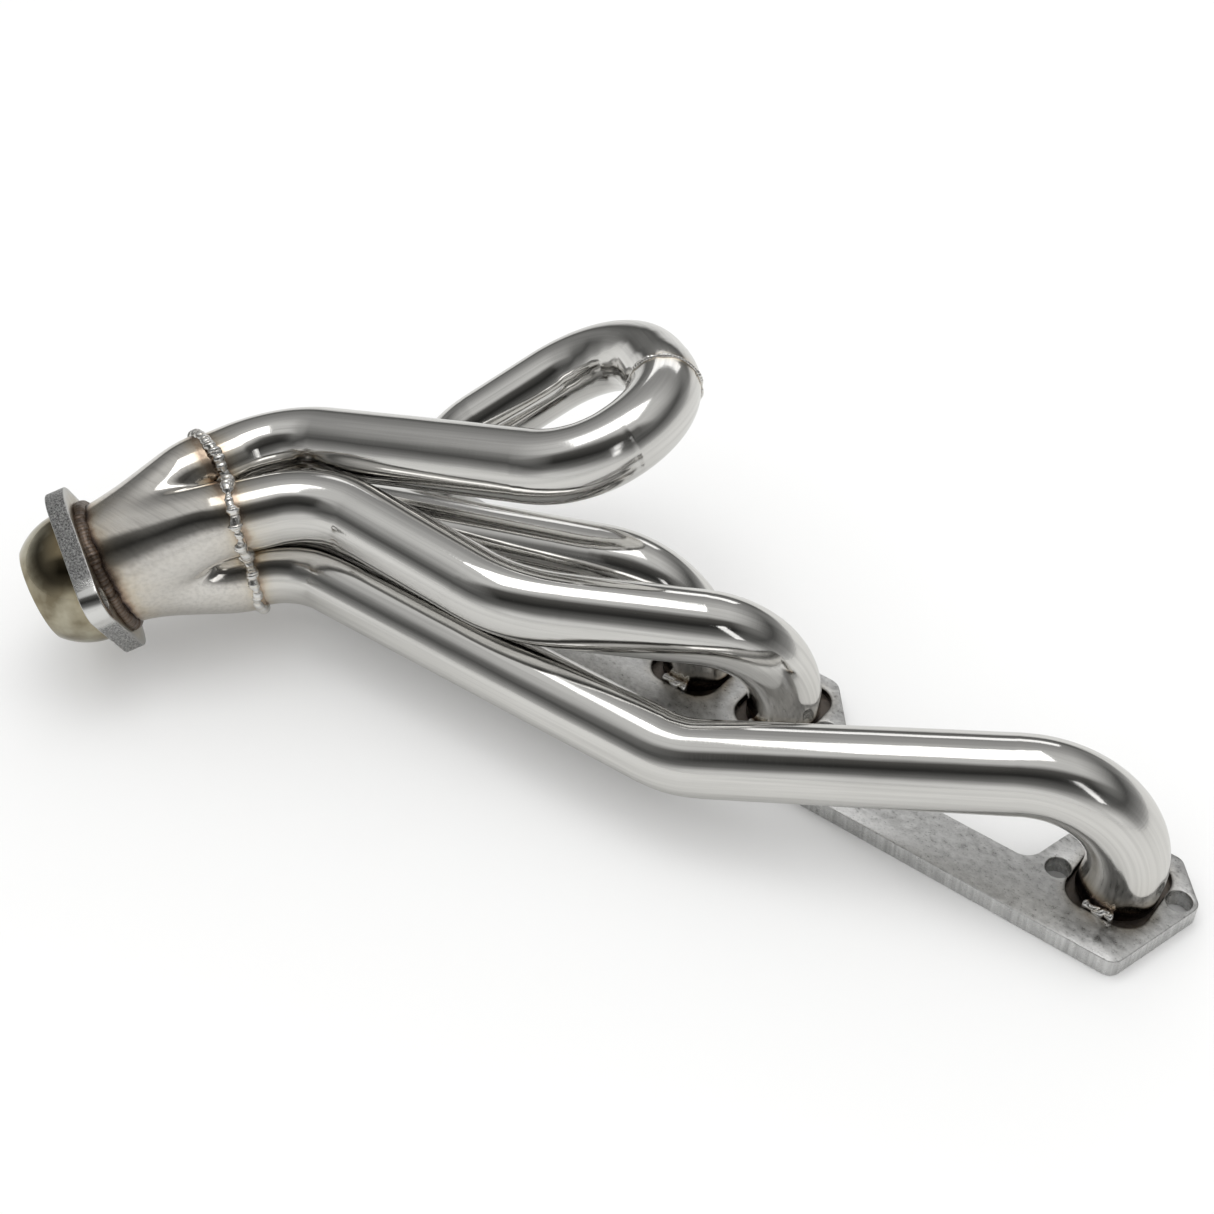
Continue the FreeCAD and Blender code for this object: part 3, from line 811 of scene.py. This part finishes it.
# ---------------------------------------------------------------- flanges
def face_outlines(mesh, axis):
    """The outlines of the flat face that looks along the axis, with that face on their left."""
    work = bmesh.new()
    work.from_mesh(mesh)
    bmesh.ops.remove_doubles(work, verts=work.verts, dist=1e-6)
    work.normal_update()
    for face in work.faces:
        face.tag = face.normal.dot(axis) > 0.999
    following = {}
    for face in work.faces:
        for corner in face.loops if face.tag else ():
            if not all(beside.tag for beside in corner.edge.link_faces):
                following[corner.vert] = corner.link_loop_next.vert
    outlines = []
    while following:
        first, here = following.popitem()
        outline = [first.co / MM]
        while here is not first:
            outline.append(here.co / MM)
            here = following.pop(here)
        outlines.append(outline)
    work.free()
    return outlines


def inward_steps(outline, axis):
    """For each point of an outline, the step that moves it one millimetre into the face."""
    count = len(outline)
    lefts = [axis.cross(outline[(n + 1) % count] - outline[n]).normalized() for n in range(count)]
    steps = []
    for number in range(count):
        middle = (lefts[number - 1] + lefts[number]).normalized()
        steps.append(middle / max(0.5, middle.dot(lefts[number])))
    return steps


def bevelled_plate(name, node, slot, material, axis, thickness):
    """The CAD plate with its edges broken by a small round."""
    turns = [radians(90) * step / 3 for step in range(4)]
    upper = [(BEVEL * (1 - sin(turn)), BEVEL * (1 - cos(turn))) for turn in turns]
    profile = upper + [(inset, thickness - drop) for inset, drop in reversed(upper)]
    work = bmesh.new()
    rims = ([], [])
    for outline in face_outlines(frame["nodes"][node].data, axis):
        steps = inward_steps(outline, axis)
        rings = []
        for inset, drop in profile:
            places = [point + step * inset - axis * drop for point, step in zip(outline, steps)]
            rings.append([work.verts.new(place_at * MM) for place_at in places])
        count = len(outline)
        for ring, following in zip(rings, rings[1:]):
            for column in range(count):
                beside = (column + 1) % count
                work.faces.new((ring[column], following[column], following[beside], ring[beside]))
        for rim, ring in zip(rims, (rings[0], rings[-1])):
            rim += [work.edges.get((ring[n], ring[(n + 1) % count])) for n in range(count)]
    for rim, facing in zip(rims, (axis, -axis)):
        bmesh.ops.triangle_fill(work, use_beauty=True, edges=rim, normal=facing)
    mesh = bpy.data.meshes.new(name)
    work.to_mesh(mesh)
    work.free()
    return place(finished(name, mesh, 35), slot, material, node)


bevelled_plate("head_flange_skin", "head_flange", "flange_plate", HEAD_PLATE, UP, PLATE)
outlet_piece = bevelled_plate(
    "outlet_flange_skin", "outlet_flange", "outlet_plate", OUTLET_STEEL, OUTLET_AXIS, OUTLET_PLATE
)
heats = []
for vertex in outlet_piece.data.vertices:
    offset = vertex.co / MM - OUTLET
    height = offset.dot(OUTLET_AXIS)
    from_axis = (offset - OUTLET_AXIS * height).length
    near_face = 1.0 if height < OUTLET_PLATE / 2 else 0.7
    heats.append(near_face * 0.4 * falloff(from_axis - NECK_RADIUS - 2, 3.0))
paint(outlet_piece, "scorch", heats)


# ---------------------------------------------------------------- weld beads
def bead(name, centre, axis, radius, width, look, start=0.0, turn=2 * pi, offset=0.0):
    """A rippled bead laid round a circle. look is (ripple length in millimetres, ripple depth
    as a share of the bead's width, unevenness)."""
    pitch, depth, rough = look
    side = axis.orthogonal().normalized()
    other = axis.cross(side)
    full = turn > 2 * pi - 1e-6
    count = ceil(radius * turn / BEAD_STEP)
    rings, hollows = [], []
    for number in range(count if full else count + 1):
        share = number / count
        angle = start + turn * share
        spoke = side * cos(angle) + other * sin(angle)
        travelled = radius * turn * share
        ends = 1.0 if full else min(1.0, sqrt(max(0.0, 1 - (2 * share - 1) ** 8)) + 0.05)
        drift = rough * wander(radius * cos(angle), radius * sin(angle), centre.x, 9)
        swell = 1 + rough * wander(radius * cos(angle), radius * sin(angle), centre.y, 3.6)
        jitter = 1.6 * rough * wander(radius * cos(angle), radius * sin(angle), centre.z, 6)
        middle = centre + spoke * radius + axis * (offset + 0.5 * drift * width)
        ring = []
        for step in range(BEAD_SECTION):
            around = 2 * pi * step / BEAD_SECTION
            phase = travelled / pitch + jitter - 0.35 * (1 - cos(around))
            notch = phase - floor(phase)
            scallop = 1 - depth * (1 - sqrt(max(0.0, 1 - (2 * notch - 1) ** 2)))
            reach = width / 2 * swell * scallop * ends
            ring.append(middle + (spoke * cos(around) + axis * sin(around)) * reach)
            hollows.append(min(1.0, (1 - scallop) / max(depth, 1e-6)))
        rings.append(ring)
    piece = skin(name, rings, loop=full, caps=not full)
    paint(piece, "hollow", hollows)
    return piece


for number, tube in enumerate(ROUTES, start=1):
    axis = socket_axis(tube)
    ring = bead(
        f"collector_bead_{number}",
        rim_centre(tube),
        axis,
        TUBE_RADIUS + 0.8,
        5.9,
        (2.4, 0.16, 0.75),
        offset=-0.6,
    )
    place(ring, "weld_bead", BEAD, f"collector_weld_{number}")

seam = next(s for s in route("tube_4") if s[2] >= SEAM - STEP / 2)
seam_ring = bead("loop_seam_bead", seam[0], seam[1], TUBE_RADIUS - 0.1, 2.2, (1.6, 0.25, 0.6))
place(seam_ring, "weld_bead", BEAD, "loop_weld")

neck_ring = bead(
    "neck_bead", OUTLET, OUTLET_AXIS, NECK_RADIUS + 0.5, 6.6, (1.9, 0.035, 0.22), offset=-1.6
)
place(neck_ring, "weld_bead", BURNT_BEAD, "neck_weld")

root_ring = bead(
    "root_bead",
    OUTLET + OUTLET_AXIS * NECK_INSERT,
    OUTLET_AXIS,
    NECK_RADIUS - SHELL_WALL + 0.5,
    2.6,
    (1.5, 0.25, 0.2),
)
place(root_ring, "weld_bead", BURNT_BEAD, "root_weld")

TACK_RING = 19.3
for number, tube in enumerate(PORTS, start=1):
    axis = Vector((0, 0, 1))
    side = axis.orthogonal().normalized()
    middle_angle = atan2(axis.cross(side).dot(Vector((0, -1, 0))), side.dot(Vector((0, -1, 0))))
    half = radians(21)
    tack = bead(
        f"tack_bead_{number}",
        port_centre(tube),
        axis,
        TACK_RING,
        5.4,
        (4.7, 0.42, 0.45),
        middle_angle - half,
        2 * half,
        0.4,
    )
    place(tack, "weld_bead", BEAD, f"tack_weld_{number}")

for number in range(1, 5):
    node = frame["nodes"][f"port_weld_{number}"]
    node.data.materials.clear()
    node.data.materials.append(PORT_BEAD)
plug = frame["nodes"]["merge_plug"]
plug.data.materials.clear()
plug.data.materials.append(BURNT_BEAD)


# ---------------------------------------------------------------- floor, light and camera
AIM = Vector((-0.0645, -0.0211, 0.0389))
CAMERA_TURN, CAMERA_RISE, CAMERA_ROLL = 40.28, 42.43, -1.99
FAR_SIDE = Vector((-sin(radians(CAMERA_TURN)), cos(radians(CAMERA_TURN)), 0.0))


def pale_floor():
    """A pale floor, darker in the steel's reflections than the camera sees it."""
    bpy.ops.mesh.primitive_plane_add(size=14.0, location=(0, 0, cad_low.z - 0.0002))
    floor_piece = bpy.context.object
    floor_piece.name = "floor"
    material = bpy.data.materials.new("pale_floor")
    material.use_nodes = True
    shader = next(n for n in material.node_tree.nodes if n.type == "BSDF_PRINCIPLED")
    mirrored = add(material.node_tree, "ShaderNodeLightPath").outputs["Is Glossy Ray"]
    shade = mix(material.node_tree, mirrored, (0.93, 0.93, 0.925), (0.74, 0.74, 0.725))
    material.node_tree.links.new(shade, shader.inputs["Base Color"])
    shader.inputs["Roughness"].default_value = 0.7
    shader.inputs["Specular IOR Level"].default_value = 0.2
    floor_piece.data.materials.append(material)


def softbox(name, place_at, aim, width, height, radiance):
    """A rectangular light whose face has the given brightness."""
    light = bpy.data.lights.new(name, "AREA")
    light.shape = "RECTANGLE"
    light.size = width
    light.size_y = height
    light.energy = radiance * pi * width * height
    lamp = bpy.data.objects.new(name, light)
    lamp.location = place_at
    toward = Vector(aim) - Vector(place_at)
    lamp.rotation_euler = toward.to_track_quat("-Z", "Y").to_euler()
    bpy.context.scene.collection.objects.link(lamp)


def studio():
    """Three lamps, and a sky in bands for reflections: bright overhead, dark on the camera's
    side. The camera and dull surfaces see plain white."""
    world = bpy.data.worlds.new("studio")
    bpy.context.scene.world = world
    world.use_nodes = True
    tree = world.node_tree
    background = next(n for n in tree.nodes if n.type == "BACKGROUND")
    where = add(tree, "ShaderNodeTexCoord").outputs["Generated"]
    height = add(tree, "ShaderNodeSeparateXYZ", {0: where}).outputs["Z"]
    beyond = add(tree, "ShaderNodeVectorMath", {0: where, 1: FAR_SIDE}, operation="DOT_PRODUCT")
    over = calc(tree, "ARCTAN2", height, beyond.outputs["Value"])
    sky = ramp(
        tree,
        spread(tree, over, 0.0, pi),
        [
            (0.0, (0.72, 0.72, 0.71)),
            (0.035, (0.08, 0.08, 0.077)),
            (0.1, (0.22, 0.22, 0.216)),
            (0.24, (0.34, 0.34, 0.335)),
            (0.4, (0.62, 0.62, 0.61)),
            (0.56, (0.62, 0.62, 0.61)),
            (0.62, (0.09, 0.088, 0.084)),
            (0.74, (0.02, 0.02, 0.019)),
            (0.86, (0.16, 0.16, 0.156)),
            (0.96, (0.72, 0.72, 0.71)),
        ],
    )
    level = ramp(
        tree,
        spread(tree, height, -0.1, 1.0),
        [
            (0.0, (0.72, 0.72, 0.71)),
            (0.2, (0.3, 0.3, 0.295)),
            (0.45, (0.08, 0.08, 0.078)),
            (1.0, (0.5, 0.5, 0.49)),
        ],
    )
    across = {0: where, 1: FAR_SIDE.cross(UP)}
    sideways = add(tree, "ShaderNodeVectorMath", across, operation="DOT_PRODUCT")
    aside = spread(tree, calc(tree, "ABSOLUTE", sideways.outputs["Value"]), 0.5, 0.85)
    sky = mix(tree, aside, sky, level)
    rays = add(tree, "ShaderNodeLightPath")
    plain = calc(tree, "MAXIMUM", rays.outputs["Is Diffuse Ray"], rays.outputs["Is Camera Ray"])
    tree.links.new(mix(tree, plain, sky, (1.0, 1.0, 1.0)), background.inputs["Color"])
    background.inputs["Strength"].default_value = 1.0
    softbox("overhead", (-0.25, 0.15, 1.5), (-0.08, 0, 0), 1.0, 0.7, 1.55)
    softbox("rear_strip", (-0.9, 1.5, 0.9), (-0.08, 0, 0.05), 1.4, 0.35, 1.1)
    softbox("front_strip", (1.6, -0.6, 1.2), (0, 0, 0.05), 0.25, 1.0, 1.1)


CAMERA_DISTANCE = 0.838
SENSOR = 36.0
LENS = 51.67


def camera():
    """The photograph's viewpoint, above the part and on its +X and -Y side."""
    data = bpy.data.cameras.new("camera")
    data.sensor_width = SENSOR
    data.lens = LENS
    made = bpy.data.objects.new("camera", data)
    turn, rise = radians(CAMERA_TURN), radians(CAMERA_RISE)
    back = Vector((sin(turn) * cos(rise), -cos(turn) * cos(rise), sin(rise)))
    made.location = AIM + back * CAMERA_DISTANCE
    look = (-back).to_track_quat("-Z", "Y").to_matrix()
    made.rotation_euler = (look @ Matrix.Rotation(radians(CAMERA_ROLL), 3, "Z")).to_euler()
    bpy.context.scene.collection.objects.link(made)
    bpy.context.scene.camera = made


pale_floor()
studio()
camera()
bpy.context.scene.view_settings.view_transform = "Standard"
